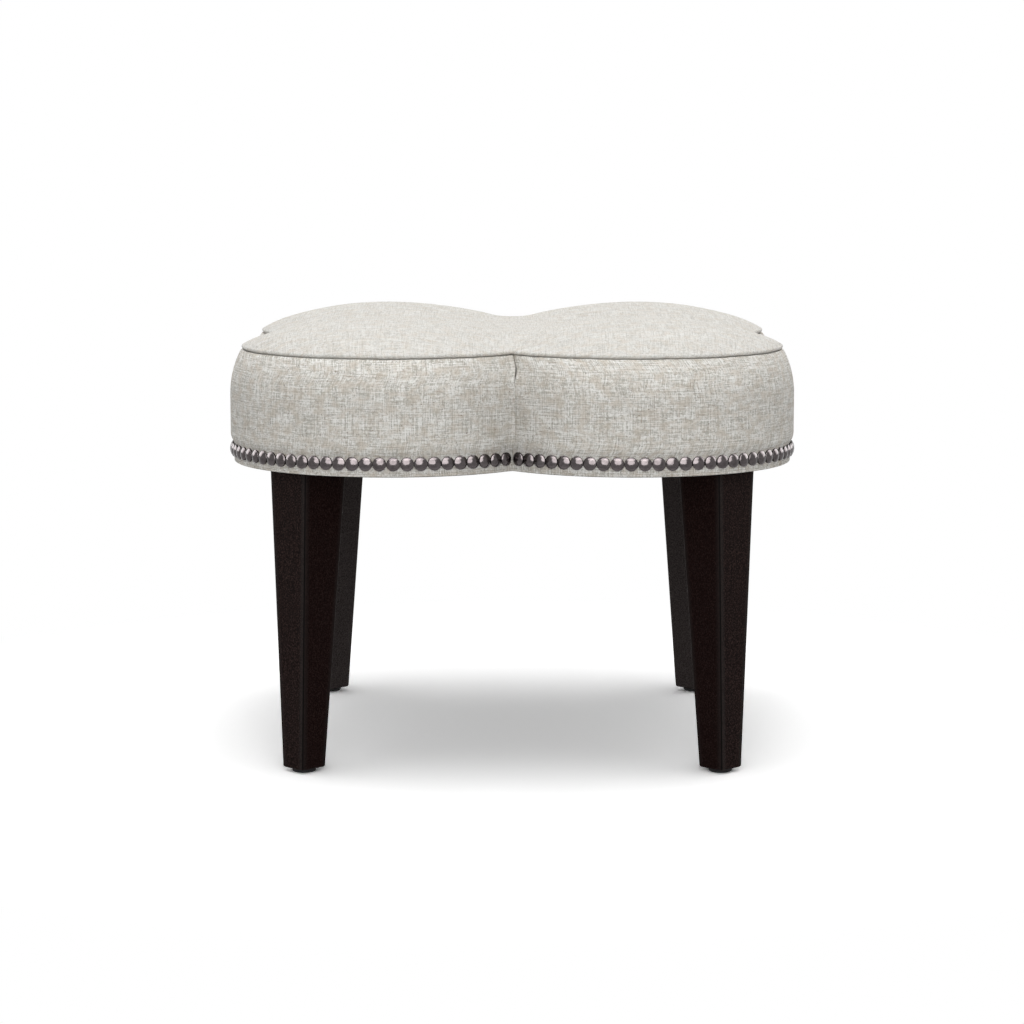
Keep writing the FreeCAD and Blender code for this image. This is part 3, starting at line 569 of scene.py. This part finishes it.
def top_rows(shares, count):
    """The top panel as rows of points, from the lip to the middle, and each row's share inwards."""
    rows = [around(radius, SEAM_HEIGHT + height, shares) for radius, height in LIP_LINE]
    inwards = [0.0] * len(rows)
    wobble = np.tile(hand_sewn(shares[:-1] * LOBE_ARC), 4)
    for row, (radius, height) in zip(rows, LIP_LINE):
        fade = max(0.0, 1 - abs(height) / LIP_TOP)
        row[:, 2] += 0.00035 * fade * wobble
        row[:, :2] *= (1 + 0.0010 * fade * np.roll(wobble, 3))[:, None]
    edge = rows[-1][:, :2]
    for step in range(1, count):
        share = (step / count) ** 1.25
        plan = edge * (1 - share)
        inner = smooth_step(np.full(len(plan), share * 12))
        height = crown_height(plan[:, 0], plan[:, 1], inner)
        height += 0.0005 * notch_pulls(plan[:, 0], plan[:, 1])
        rows.append(np.column_stack([plan, SEAM_HEIGHT + LIP_TOP + height]))
        inwards.append(share)
    return rows, inwards


def side_line():
    """Outer face of a side panel, from the seam down and under the board: radius and height."""
    line = [
        (0.1532, SEAM_HEIGHT - 0.0017),
        (0.1542, SEAM_HEIGHT - 0.0013),
        (0.1553, SEAM_HEIGHT - 0.0012),
        (0.1562, SEAM_HEIGHT - 0.0015),
        (0.15695, SEAM_HEIGHT - 0.0023),
    ]
    shoulder, wall_top = 0.0952, 0.378
    for height in np.linspace(SEAM_HEIGHT - 0.0042, wall_top, 19):
        line.append((WALL_RADIUS - shoulder + math.sqrt(shoulder**2 - (height - wall_top) ** 2), height))
    for height in np.linspace(0.3745, 0.3415, 10):
        line.append((WALL_RADIUS, height))
    turn_in, wall_foot = 0.0141, 0.3383
    for height in (wall_foot, 0.3355, 0.3330, 0.3308):
        line.append((WALL_RADIUS - turn_in + math.sqrt(turn_in**2 - (wall_foot - height) ** 2), height))
    for height in (BAND_TOP, 0.3260, 0.3224, 0.3190, 0.3160, 0.3140, 0.3128):
        line.append((BAND_RADIUS, height))
    for inset, height in HEM_LINE:
        line.append((BAND_RADIUS - inset, height))
    line += [(0.1580, 0.3090), (0.1540, 0.3090), (MARGIN_END + 0.0004, 0.3090)]
    return line


# The cover's lower edge, with its stitched hem: how far inside the band, and height
HEM_LINE = [
    (0.00035, 0.3121), (0.00095, 0.3117), (0.00100, 0.3113), (0.00050, 0.3109),
    (0.00030, 0.3104), (0.00060, 0.3097), (0.00150, 0.3092), (0.0035, 0.3090),
]

# The hidden faces of a side panel, from under the board back up to the seam
SIDE_BACK = [
    (MARGIN_END, 0.3094), (MARGIN_END + 0.0004, 0.3098), (0.1560, 0.3098), (0.1612, 0.3098), (0.1634, 0.3106),
    (0.1639, 0.3130), (0.1639, 0.3200), (0.1639, 0.3287), (0.1633, 0.3294), (0.1542, 0.3294), (0.1533, 0.3308),
    (0.1533, 0.3600), (0.1533, 0.3950), (0.1533, SEAM_HEIGHT - 0.0024),
]


# How the cloth meets at a notch, in millimetres by height. shift: how far the upright seam stands to
# the side, as it was tucked by hand. tuck: the sharp tuck's depth, as only near the top is the seam
# drawn in. lap: how far the neighbour's edge dips behind the edge that laps over it. fold: how widely
# the cloth bridges the notch, a tight corner at the seam and a soft fold below.
NOTCH = {
    "shift": (
        [0.3290, 0.3330, 0.3420, 0.3900, 0.3978, 0.4040, 0.4104, 0.4180, 0.4230],
        [0.25, 1.2, 2.7, 2.8, 1.8, 3.1, 4.1, 2.4, 1.2],
    ),
    "tuck": ([0.3950, 0.3985, 0.4090, 0.4150, 0.4230], [0.0, 0.6, 0.8, 0.3, 0.3]),
    "lap": ([0.3290, 0.3340, 0.3920, 0.4000, 0.4230], [0.15, 0.25, 0.22, 0.28, 0.22]),
    "fold": ([0.3290, 0.3345, 0.3420, 0.3930, 0.4080, 0.4200, 0.4235], [2.6, 4.2, 6.0, 6.0, 4.0, 2.0, 0.6]),
}


def at_notch(kind, height):
    return float(ONE_MM * np.interp(height, *NOTCH[kind]))


NOTCH_SLOPE = 1.04
FOLD_REACH = 0.034
TUCK_WIDTH = 0.0007


def side_row(radius, height, shares, outer):
    """One row of a side panel in the back right lobe's place. Its last end laps over the
    neighbour's first end, which dips under it."""
    shift = at_notch("shift", height if outer else BAND_TOP)
    start = -math.asin((LOBE_OFFSET - shift) / radius)
    stop = math.acos(-(LOBE_OFFSET + shift) / radius)
    angles = start + (stop - start) * shares
    from_start = (angles - start) * radius
    from_stop = (stop - angles) * radius
    pull = np.zeros_like(angles)
    if outer:
        tucked = np.exp(-((from_start / TUCK_WIDTH) ** 2)) + np.exp(-((from_stop / TUCK_WIDTH) ** 2))
        pull = at_notch("tuck", height) * tucked + at_notch("lap", height) * np.exp(-from_start / 0.0045)
        if 0.3165 < height < 0.3400:
            beat = nail_beat(angles - math.pi / 4)
            pull += 0.00035 * beat * math.exp(-(((height - 0.3300) / 0.0035) ** 2))
    x = LOBE_OFFSET + (radius - pull) * np.cos(angles)
    y = LOBE_OFFSET + (radius - pull) * np.sin(angles)
    if outer:
        own = math.sqrt(radius**2 - (LOBE_OFFSET - shift) ** 2)
        neighbour = math.sqrt(radius**2 - (LOBE_OFFSET + shift) ** 2)
        x = x - (own - neighbour) * np.clip(1 - from_start / 0.013, 0, 1) ** 2
        width = at_notch("fold", height)
        x = x + bridge(y - y[0], width)
        y = y + bridge(x - x[-1], width)
    z = np.full_like(x, height)
    if outer and height > SEAM_HEIGHT - 0.0060:
        z = z + 0.00035 * hand_sewn(shares * LOBE_ARC)
    return np.stack([x, y, z], axis=-1)


def bridge(distance, width):
    """How far the cloth stands out of the sharp notch, by the distance from its seam."""
    fold = np.sqrt(distance**2 + width**2) - distance
    return NOTCH_SLOPE * fold * smooth_step(1 - distance / FOLD_REACH)


def nail_angles():
    """Angles of one lobe's nails about its middle, from the diagonal."""
    half = math.acos(-LOBE_OFFSET / BAND_RADIUS) - math.pi / 4 - NAIL_NOTCH_GAP / BAND_RADIUS
    return np.linspace(-half, half, NAIL_COUNT)


def nail_beat(angles):
    """One at each nail and nought between two, to pucker the cloth over them."""
    places = nail_angles()
    step = places[1] - places[0]
    return 0.5 + 0.5 * np.cos((angles - places[0]) / step * 2 * math.pi)


def grid_faces(tall, wide, closed):
    """Faces between neighbouring rows of points. A closed row's last point joins its first."""
    faces = []
    for row in range(tall - 1):
        here, above = row * wide, (row + 1) * wide
        for column in range(wide if closed else wide - 1):
            after = (column + 1) % wide
            faces.append((here + column, here + after, above + after, above + column))
    return faces


# Swelling of the cloth

CLOTH = {
    "quality": 6, "mass": 0.35, "tension_stiffness": 40, "compression_stiffness": 40, "shear_stiffness": 20,
    "bending_stiffness": 6, "tension_damping": 12, "air_damping": 4,
}
CLOTH_PRESSURE = 12.0
CLOTH_STEPS = 20

# How far each trial starts inside its finished shape, and how far a point may move. The side panels
# are so taut that they hardly move, so their bulge is in side_line.
TOP_SLACK = 0.0022
TOP_REACH = 0.006
SIDE_SLACK = 0.0016
SIDE_REACH = 0.005


def swell(rows, held, closed, limit, name):
    """Lets cloth, laid out as rows of points, swell over its padding, and returns how each point moved.
    held gives each point's share of being sewn or tacked down, from 0 to 1."""
    grid = np.array(rows)
    tall, wide = grid.shape[:2]
    faces = grid_faces(tall, wide, closed)
    points = grid.reshape(-1, 3)
    if closed:
        last = (tall - 1) * wide
        faces += [(last + column, last + (column + 1) % wide, len(points)) for column in range(wide)]
        points = np.vstack([points, grid[-1].mean(axis=0)])
        held = np.concatenate([np.array(held).reshape(-1), [0.0]])
    else:
        held = np.array(held).reshape(-1)
    mesh = bpy.data.meshes.new(name)
    mesh.from_pydata(points.tolist(), [], faces)
    cloth = bpy.data.objects.new(name, mesh)
    bpy.context.scene.collection.objects.link(cloth)
    group = cloth.vertex_groups.new(name="sewn")
    for index, share in enumerate(held):
        if share > 0:
            group.add([index], float(share), "REPLACE")
    modifier = cloth.modifiers.new("cloth", "CLOTH")
    settings = modifier.settings
    for setting, value in CLOTH.items():
        setattr(settings, setting, value)
    settings.use_pressure = True
    settings.uniform_pressure_force = CLOTH_PRESSURE
    settings.vertex_group_mass = "sewn"
    settings.effector_weights.gravity = 0
    modifier.collision_settings.use_collision = False
    modifier.point_cache.frame_start = 1
    modifier.point_cache.frame_end = CLOTH_STEPS
    scene = bpy.context.scene
    for step in range(1, CLOTH_STEPS + 1):
        scene.frame_set(step)
    seen = cloth.evaluated_get(bpy.context.evaluated_depsgraph_get())
    after = np.zeros(len(points) * 3)
    seen.data.vertices.foreach_get("co", after)
    moved = after.reshape(-1, 3) - points
    bpy.data.objects.remove(cloth)
    bpy.data.meshes.remove(mesh)
    scene.frame_set(1)
    length = np.linalg.norm(moved, axis=1, keepdims=True)
    moved *= np.minimum(1, limit / np.maximum(length, 1e-9))
    return moved[: tall * wide].reshape(tall, wide, 3)


def read_between(field, tall, wide):
    """Values of a field of rows and columns at fractional rows and columns."""
    low_row = np.clip(np.floor(tall).astype(int), 0, field.shape[0] - 2)
    low_column = np.clip(np.floor(wide).astype(int), 0, field.shape[1] - 2)
    up = (tall - low_row)[:, None, None]
    right = (wide - low_column)[None, :, None]
    corner = field[low_row][:, low_column]
    beside = field[low_row][:, low_column + 1]
    above = field[low_row + 1][:, low_column]
    across = field[low_row + 1][:, low_column + 1]
    return (corner * (1 - right) + beside * right) * (1 - up) + (above * (1 - right) + across * right) * up


def trial_gain(slack, moved):
    """The share of a trial's movement that is used."""
    return float(np.clip(slack / max(moved, 1e-5), 0.2, 3.0))


def swell_top(rows, inwards, shares):
    """Moves the rows of the top panel by what the cloth does over the foam."""
    columns_in_lobe = 44
    coarse, coarse_inwards = top_rows(np.linspace(0, 1, columns_in_lobe + 1), 30)
    first = len(LIP_LINE) - 1
    coarse = [row.copy() for row in coarse[first:]]
    coarse_inwards = np.array(coarse_inwards[first:])
    slack = smooth_step(coarse_inwards / 0.18)
    for row, share in zip(coarse, slack):
        row[:, 2] -= TOP_SLACK * share
    held = [np.full(len(coarse[0]), 1.0 - min(1.0, share / 0.05)) for share in coarse_inwards]
    moved = swell(coarse, held, True, TOP_REACH, "top_cloth_trial")
    rise = moved[..., 2][coarse_inwards > 0.3].mean()
    gain = trial_gain(TOP_SLACK, rise)
    print("top panel swells", round(rise * 1000, 2), "mm, used at", round(gain, 2))
    moved = np.concatenate([moved, moved[:, :1]], axis=1) * gain
    fine_rows = np.interp(np.array(inwards[first:]), coarse_inwards, np.arange(len(coarse_inwards)))
    columns = np.concatenate([(lobe + shares[:-1]) * columns_in_lobe for lobe in range(4)])
    shift = read_between(moved, fine_rows, columns)
    for row, share, change in zip(rows[first:], inwards[first:], shift):
        row += change
        row[:, 2] -= rise * gain * float(smooth_step(np.array(share / 0.18)))


def swell_side(line, shares):
    """How the cloth of one side panel moves over its pad, as a field of the line's rows and columns."""
    heights = np.array([height for _, height in line])
    first = int(np.argmax(heights < SEAM_HEIGHT - 0.002))
    last = int(np.argmax(heights < 0.3300))
    coarse_shares = np.linspace(0, 1, 81)
    heights = heights[first:last + 1]
    window = smooth_step((SEAM_HEIGHT - heights) / 0.022) * smooth_step((heights - 0.329) / 0.014)
    ends = smooth_step(np.minimum(coarse_shares, 1 - coarse_shares) * LOBE_ARC / 0.022)
    free = window[:, None] * ends
    rows = np.array([arc_points(radius, height, coarse_shares) for radius, height in line[first:last + 1]])
    way = rows[..., :2] - LOBE_OFFSET
    way /= np.linalg.norm(way, axis=2, keepdims=True)
    rows[..., :2] -= way * (SIDE_SLACK * free)[..., None]
    held = np.zeros(free.shape)
    held[:, [0, -1]] = 1.0
    held[[0, -1]] = 1.0
    moved = swell(rows[::-1], held[::-1], False, SIDE_REACH, "side_cloth_trial")[::-1]
    middle = (moved[..., :2] * way).sum(axis=2)[8:-8, 15:-15].mean()
    gain = trial_gain(SIDE_SLACK, middle)
    print("side panel swells", round(middle * 1000, 2), "mm, used at", round(gain, 2))
    moved = moved * gain
    moved[..., :2] -= way * (middle * gain * free)[..., None]
    return first, read_between(moved, np.arange(len(heights), dtype=float), shares * (len(coarse_shares) - 1))


# Pieces of cloth

def make_piece(name, points, faces, material):
    mesh = bpy.data.meshes.new(name)
    mesh.from_pydata([tuple(p) for p in points], [], faces)
    mesh.materials.append(material)
    for face in mesh.polygons:
        face.use_smooth = True
    piece = bpy.data.objects.new(name, mesh)
    bpy.context.scene.collection.objects.link(piece)
    return piece


def face_outwards(piece):
    work = bmesh.new()
    work.from_mesh(piece.data)
    bmesh.ops.recalc_face_normals(work, faces=work.faces)
    work.to_mesh(piece.data)
    work.free()


def lay_cloth(piece, spots):
    """Writes the cloth's own coordinates, in metres, one spot for each point of the mesh."""
    layer = piece.data.uv_layers.new(name="cloth")
    corners = np.zeros(len(piece.data.loops), int)
    piece.data.loops.foreach_get("vertex_index", corners)
    layer.data.foreach_set("uv", np.array(spots)[corners].reshape(-1))


def unrolled(rows, points):
    """Each point's place on the flat cloth: its run over the crown from the middle, the way it lies."""
    grid = np.array(rows)[::-1]
    steps = np.linalg.norm(np.diff(grid, axis=0), axis=2)
    runs = np.vstack([np.linalg.norm(grid[:1, :, :2], axis=2), steps]).cumsum(axis=0)
    way = grid[0, :, :2] / np.linalg.norm(grid[0, :, :2], axis=1, keepdims=True)
    spots = (runs[..., None] * way)[::-1].reshape(-1, 2)
    return np.vstack([spots, np.zeros((len(points) - len(spots), 2))])


def make_seat_cushion(material):
    shares = column_shares(92)
    rows, inwards = top_rows(shares, 66)
    swell_top(rows, inwards, shares)
    wall = [around(CUSHION_RADIUS, height, shares) for height in (CUSHION_BOTTOM, 0.3900, 0.4080)]
    under = [wall[0] * np.array([share, share, 1]) for share in (0.25, 0.5, 0.75)]
    rows = under + wall + rows
    wide = len(rows[0])
    points = np.vstack(rows + [[[0, 0, rows[-1][:, 2].mean()]], [[0, 0, CUSHION_BOTTOM]]])
    top, bottom = len(points) - 2, len(points) - 1
    faces = grid_faces(len(rows), wide, True)
    last = (len(rows) - 1) * wide
    for column in range(wide):
        after = (column + 1) % wide
        faces.append((last + column, last + after, top))
        faces.append((after, column, bottom))
    piece = make_piece("seat_cushion", points, faces, material)
    face_outwards(piece)
    lay_cloth(piece, unrolled(rows, points) + np.array([1.7, 0.9]))
    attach(piece, "root")
    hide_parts("cover_top", "top_batting", "seat_foam", *["crown_pad_" + name for name in LOBE_NAMES])


def make_side_panels(material):
    shares = column_shares(150)
    line = side_line()
    outer = [side_row(radius, height, shares, True) for radius, height in line]
    first, moved = swell_side(line, shares)
    for index, change in enumerate(moved):
        outer[first + index] += change
    back = [side_row(radius, height, shares, False) for radius, height in SIDE_BACK]
    rows = np.array(outer + back)
    tall, wide = rows.shape[:2]
    steps = np.hypot(*np.diff(np.array(line + SIDE_BACK), axis=0).T)
    down = -np.concatenate([[0], np.cumsum(steps)])
    spots = np.stack(np.broadcast_arrays((shares * LOBE_ARC)[None, :], down[:, None]), axis=-1)
    faces = [tuple(point % (tall * wide) for point in (a, d, c, b)) for a, b, c, d in grid_faces(tall + 1, wide, False)]
    faces.append(tuple(row * wide for row in range(tall)))
    faces.append(tuple(row * wide + wide - 1 for row in reversed(range(tall))))
    for lobe, name in enumerate(LOBE_NAMES):
        piece = make_piece("side_panel_" + name, lobe_to_world(rows, lobe).reshape(-1, 3), faces, material)
        face_outwards(piece)
        lay_cloth(piece, spots.reshape(-1, 2) + np.array([0.613 * lobe + 0.2, 0.37 * lobe]))
        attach(piece, "root")
        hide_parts("cover_boxing_" + name, "side_pad_" + name)


def make_dust_cover(material):
    """Black cambric pulled flat under the board and puckered a little at its staples."""
    shares = column_shares(60)
    edge = around(DUST_EDGE_RADIUS, DUST_HEIGHT - ONE_MM, shares)
    inner = around(MARGIN_END + 0.0003, DUST_HEIGHT - ONE_MM, shares)
    step_in = around(MARGIN_END - 0.0011, DUST_HEIGHT, shares)
    rows = [edge, edge * 0.5 + inner * 0.5, inner, step_in]
    for share in np.linspace(0.08, 0.92, 14):
        row = step_in.copy()
        row[:, :2] *= 1 - share
        rows.append(row)
    beat = np.cos(np.tile(shares[:-1], 4) * 2 * math.pi * 14)
    rows[0][:, :2] *= (1 - 0.0012 * (0.5 + 0.5 * beat))[:, None]
    wide = len(edge)
    points = np.vstack(rows + [[[0, 0, DUST_HEIGHT]]])
    faces = [(a, d, c, b) for a, b, c, d in grid_faces(len(rows), wide, True)]
    last = (len(rows) - 1) * wide
    faces += [(last + column, len(points) - 1, last + (column + 1) % wide) for column in range(wide)]
    piece = make_piece("cambric_dust_cover", points, faces, material)
    wall = piece.modifiers.new("thickness", "SOLIDIFY")
    wall.thickness = 0.0006
    wall.offset = 0.0
    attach(piece, "root")
    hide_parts("dust_cover")


# Nails, set along the lobes' arcs

class Recipe(Nodes):
    """A Geometry Nodes tree. Each of its values is a named input."""

    KINDS = {float: "NodeSocketFloat", int: "NodeSocketInt", bpy.types.Material: "NodeSocketMaterial"}

    def __init__(self, name, values):
        super().__init__(bpy.data.node_groups.new(name, "GeometryNodeTree"))
        self.tree.interface.new_socket("Geometry", in_out="OUTPUT", socket_type="NodeSocketGeometry")
        self.values = {}
        for label, value in values.items():
            socket = self.tree.interface.new_socket(label, in_out="INPUT", socket_type=self.KINDS[type(value)])
            self.values[socket.identifier] = value
        self.start = self.tree.nodes.new("NodeGroupInput")
        self.end = self.tree.nodes.new("NodeGroupOutput")

    def given(self, label):
        return self.start.outputs[label]

    def compare(self, operation, first, second):
        values = {0: first, 1: second}
        return self.add("FunctionNodeCompare", values, data_type="FLOAT", operation=operation).outputs[0]

    def scaled(self, vector, share):
        return self.add("ShaderNodeVectorMath", {0: vector, "Scale": share}, operation="SCALE").outputs[0]

    def vector(self, x=0.0, y=0.0, z=0.0):
        return self.add("ShaderNodeCombineXYZ", {0: x, 1: y, 2: z}).outputs[0]

    def built(self, name):
        """The tree's result as a plain mesh object."""
        holder = bpy.data.objects.new(name + "_holder", bpy.data.meshes.new(name + "_holder"))
        bpy.context.scene.collection.objects.link(holder)
        modifier = holder.modifiers.new("recipe", "NODES")
        modifier.node_group = self.tree
        for identifier, value in self.values.items():
            modifier[identifier] = value
        bpy.context.view_layer.update()
        seen = holder.evaluated_get(bpy.context.evaluated_depsgraph_get())
        mesh = bpy.data.meshes.new_from_object(seen)
        mesh.name = name
        holder.modifiers.remove(modifier)
        bpy.data.objects.remove(holder)
        piece = bpy.data.objects.new(name, mesh)
        bpy.context.scene.collection.objects.link(piece)
        return piece


def lobe_row(recipe, shape, count, radius, half_angle, height, seed, looseness):
    """Sets a shape along one lobe's arc, facing outwards, and repeats the row for all four lobes."""
    arc = recipe.add("GeometryNodeCurveArc", {
        "Resolution": count,
        "Radius": radius,
        "Start Angle": recipe.sums("SUBTRACT", math.pi / 4, half_angle),
        "Sweep Angle": recipe.times(half_angle, 2.0),
    }, mode="RADIUS")
    spots = recipe.add("GeometryNodeCurveToPoints", {"Curve": arc.outputs["Curve"]}, mode="EVALUATED")
    here = recipe.add("GeometryNodeInputPosition")
    upwards = recipe.vector(0.0, 0.0, recipe.times(radius, math.tan(NAIL_TILT)))
    lifted = recipe.add("ShaderNodeVectorMath", {0: here.outputs[0], 1: upwards}, operation="ADD")
    facing = recipe.add("FunctionNodeAlignRotationToVector", {"Vector": lifted.outputs[0]}, axis="Z")
    span = {"Seed": seed, 0: (-1.0, -1.0, -1.0), 1: (1.0, 1.0, 1.0)}
    jitter = recipe.add("FunctionNodeRandomValue", span, data_type="FLOAT_VECTOR")
    tilt = recipe.add("FunctionNodeEulerToRotation", {0: recipe.scaled(jitter.outputs[0], looseness)})
    turns = {0: facing.outputs[0], 1: tilt.outputs[0]}
    turned = recipe.add("FunctionNodeRotateRotation", turns, rotation_space="LOCAL")
    span = {"Seed": recipe.sums("ADD", seed, 7.0), 2: 0.985, 3: 1.015}
    size = recipe.add("FunctionNodeRandomValue", span, data_type="FLOAT")
    row = recipe.add("GeometryNodeInstanceOnPoints", {
        "Points": spots.outputs["Points"],
        "Instance": shape,
        "Rotation": turned.outputs[0],
        "Scale": recipe.scaled(recipe.vector(1.0, 1.0, 1.0), size.outputs[1]),
    })
    middle = recipe.vector(LOBE_OFFSET, LOBE_OFFSET, height)
    placed = recipe.add("GeometryNodeTransform", {"Geometry": row.outputs[0], "Translation": middle})
    whole = recipe.add("GeometryNodeJoinGeometry")
    for lobe in range(4):
        quarters = (0.0, 0.0, math.pi / 2 * lobe)
        turn = recipe.add("GeometryNodeTransform", {"Geometry": placed.outputs[0], "Rotation": quarters})
        recipe.feed(whole.inputs[0], turn.outputs[0])
    return whole.outputs[0]


def close_recipe(recipe, geometry):
    real = recipe.add("GeometryNodeRealizeInstances", {"Geometry": geometry})
    finish = recipe.given("Finish")
    dressed = recipe.add("GeometryNodeSetMaterial", {"Geometry": real.outputs[0], "Material": finish})
    recipe.feed(recipe.end.inputs[0], dressed.outputs[0])


def make_nails(material):
    """Domed nail heads edge to edge along each lobe, each on its shank."""
    recipe = Recipe("nail_row", {
        "Head width": NAIL_WIDTH,
        "Edge slope": NAIL_EDGE_SLOPE,
        "Lip": NAIL_LIP,
        "Count": NAIL_COUNT,
        "Arc radius": BAND_RADIUS - 0.0001,
        "Half angle": float(nail_angles()[-1]),
        "Height": NAIL_HEIGHT,
        "Looseness": 0.035,
        "Seed": 3,
        "Finish": material,
    })
    cone = recipe.add("GeometryNodeMeshCone", {
        "Vertices": 14, "Side Segments": 5, "Radius Top": 0.12, "Radius Bottom": 1.0, "Depth": 1.0,
    }, fill_type="NGON")
    here = recipe.add("ShaderNodeSeparateXYZ", {0: recipe.add("GeometryNodeInputPosition").outputs[0]})
    cone_radius = recipe.sums("SUBTRACT", 1.0, recipe.times(here.outputs[2], 0.88))
    over_lip = recipe.sums("MAXIMUM", recipe.sums("DIVIDE", recipe.sums("SUBTRACT", here.outputs[2], 0.2), 0.8), 0.0)
    over_lip = recipe.sums("POWER", over_lip, 2.1)
    edge_slope = recipe.given("Edge slope")
    slope = recipe.times(edge_slope, recipe.sums("SUBTRACT", 1.0, recipe.times(over_lip, 0.9)))
    ball = recipe.sums("DIVIDE", recipe.times(recipe.given("Head width"), 0.5), recipe.sums("SINE", edge_slope))
    widen = recipe.sums("DIVIDE", recipe.times(ball, recipe.sums("SINE", slope)), cone_radius)
    rise = recipe.sums("SUBTRACT", recipe.sums("COSINE", slope), recipe.sums("COSINE", edge_slope))
    on_lip = recipe.times(recipe.given("Lip"), recipe.sums("MINIMUM", recipe.times(here.outputs[2], 5.0), 1.0))
    domed = recipe.add("GeometryNodeSetPosition", {"Geometry": cone.outputs[0]})
    recipe.feed(domed.inputs["Position"], recipe.vector(
        recipe.times(here.outputs[0], widen),
        recipe.times(here.outputs[1], widen),
        recipe.sums("ADD", recipe.times(ball, rise), on_lip),
    ))
    way = recipe.add("ShaderNodeSeparateXYZ", {0: recipe.add("GeometryNodeInputNormal").outputs[0]})
    polished = recipe.add("GeometryNodeSetShadeSmooth", {
        "Geometry": domed.outputs[0], "Selection": recipe.compare("GREATER_THAN", way.outputs[2], 0.3),
    })
    flat = recipe.add("GeometryNodeSetShadeSmooth", {
        "Geometry": polished.outputs[0], "Selection": recipe.compare("LESS_THAN", way.outputs[2], 0.3),
        "Shade Smooth": False,
    })
    shank = recipe.add("GeometryNodeMeshCone", {
        "Vertices": 5, "Radius Top": 0.00085, "Radius Bottom": 0.0002, "Depth": 0.0128,
    }, fill_type="NGON")
    sunk = recipe.add("GeometryNodeTransform", {"Geometry": shank.outputs[0], "Translation": (0.0, 0.0, -0.0130)})
    nail = recipe.add("GeometryNodeJoinGeometry")
    recipe.feed(nail.inputs[0], flat.outputs[0])
    recipe.feed(nail.inputs[0], sunk.outputs[0])
    labels = ("Count", "Arc radius", "Half angle", "Height", "Seed", "Looseness")
    close_recipe(recipe, lobe_row(recipe, nail.outputs[0], *[recipe.given(label) for label in labels]))
    piece = recipe.built("nail_trim")
    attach(piece, "root")
    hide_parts("decorative_nails")


def dress_nodes(finishes):
    """Gives each CAD node that still shows its slot's finish."""
    for part in frame["record"]["subparts"]:
        finish = finishes.get(part["material_slot"])
        node = frame["nodes"][part["node"]]
        if finish is not None:
            node.data.materials.clear()
            node.data.materials.append(finish)


place_camera()
light_studio()
# The top cloth carries no painted shade; the side cloth carries 0.12 of it, darker in the notches and below the
# shoulder.
top_cloth = linen("oatmeal_linen_top", 1.65, 0.65, 0.0, (0.812, 0.802, 0.769), (0.540, 0.524, 0.484))
side_cloth = linen("oatmeal_linen_side", 2.1, 1.0, 0.12, (0.965, 0.955, 0.918), (0.500, 0.479, 0.426))
nickel = pewter()
dust_cloth = cambric()
dress_nodes({
    "espresso_wood": espresso(),
    "black_plastic": plastic(),
    "zinc_steel": zinc(),
    "nail_metal": nickel,
    "plywood": plywood(),
    "post_wood": hardwood(),
    "linen_cover": side_cloth,
    "black_cambric": dust_cloth,
})
make_seat_cushion(top_cloth)
make_side_panels(side_cloth)
make_dust_cover(dust_cloth)
make_nails(nickel)
